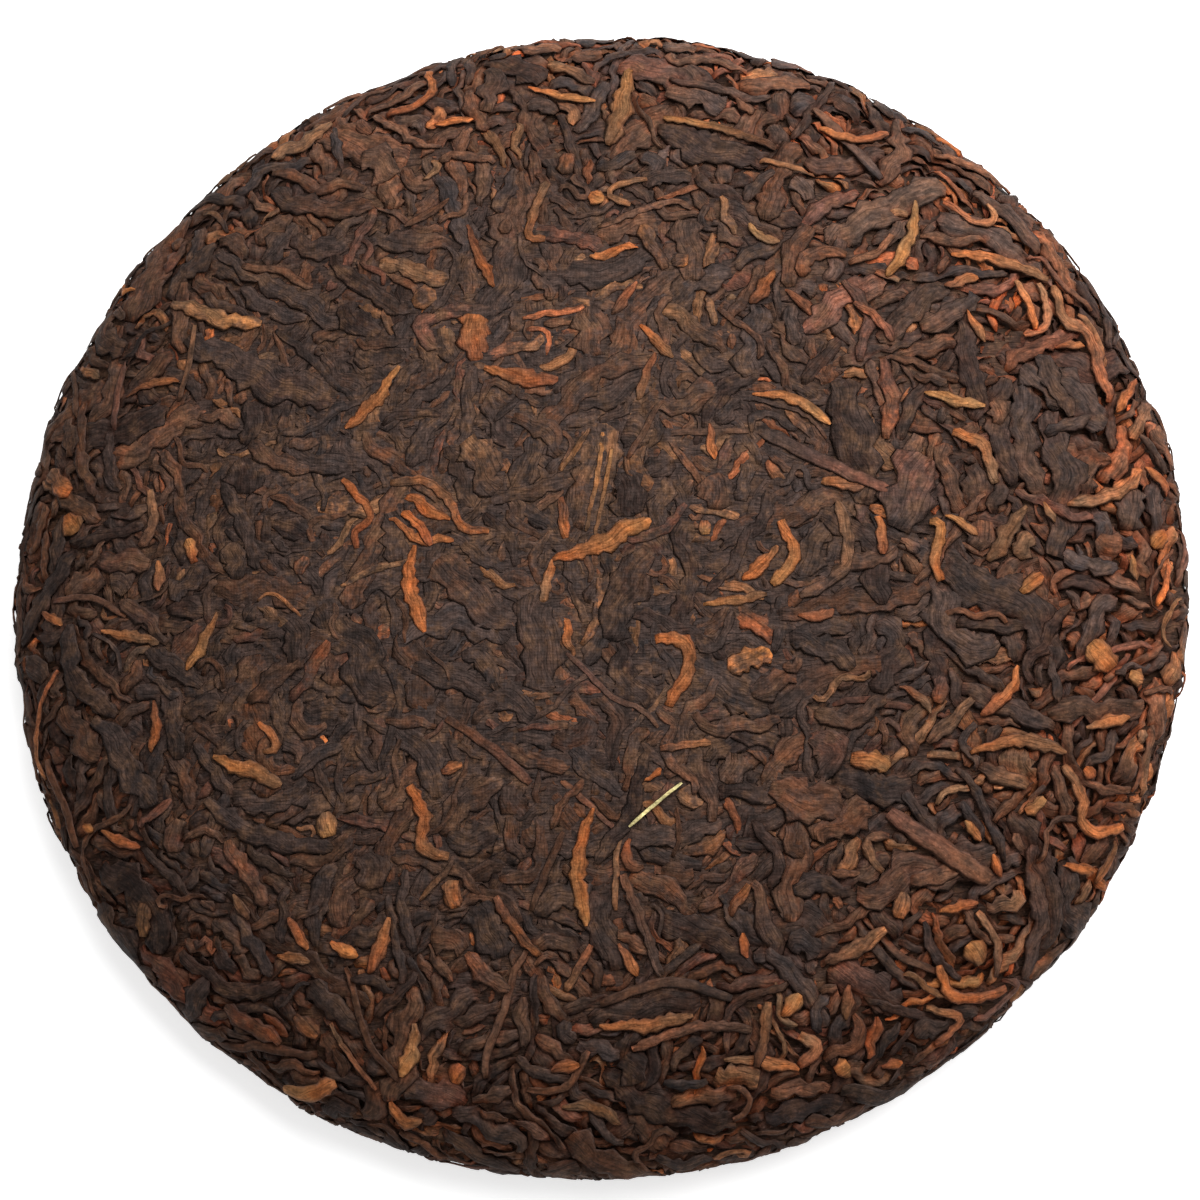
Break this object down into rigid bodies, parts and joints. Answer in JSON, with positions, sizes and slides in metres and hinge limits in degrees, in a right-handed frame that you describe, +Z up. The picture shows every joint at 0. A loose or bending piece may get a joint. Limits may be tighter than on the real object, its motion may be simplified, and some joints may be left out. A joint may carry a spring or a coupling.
{
  "type": "pu erh tea cake",
  "caption": "Round cake of pressed tea leaves with a gently domed face, a rounded rim and a flat back with a small round hollow.",
  "frame": {"origin": "centre of the outline on the surface that the cake lies on", "axes": "+Z straight up out of the domed face, +X to the right and +Y away from the viewer in the picture"},
  "size_m": [0.1992, 0.2002, 0.0236],
  "materials": {
    "brown_leaf": "rolled brown leaves pressed flat, with a dull sheen and fine lengthwise wrinkles",
    "dark_leaf": "broad dark brown leaves pressed flat, with a soft grey sheen",
    "golden_bud": "orange to gold tips with fine down, matt",
    "leaf_stem": "thin dry stems, dull",
    "packed_core": "dark crumbled leaf between the strands, matt",
    "straw": "one loose blade of pale dry grass, matt"
  },
  "bodies": {
    "root": {"tea_cake": "brown_leaf"}
  },
  "joints": []
}
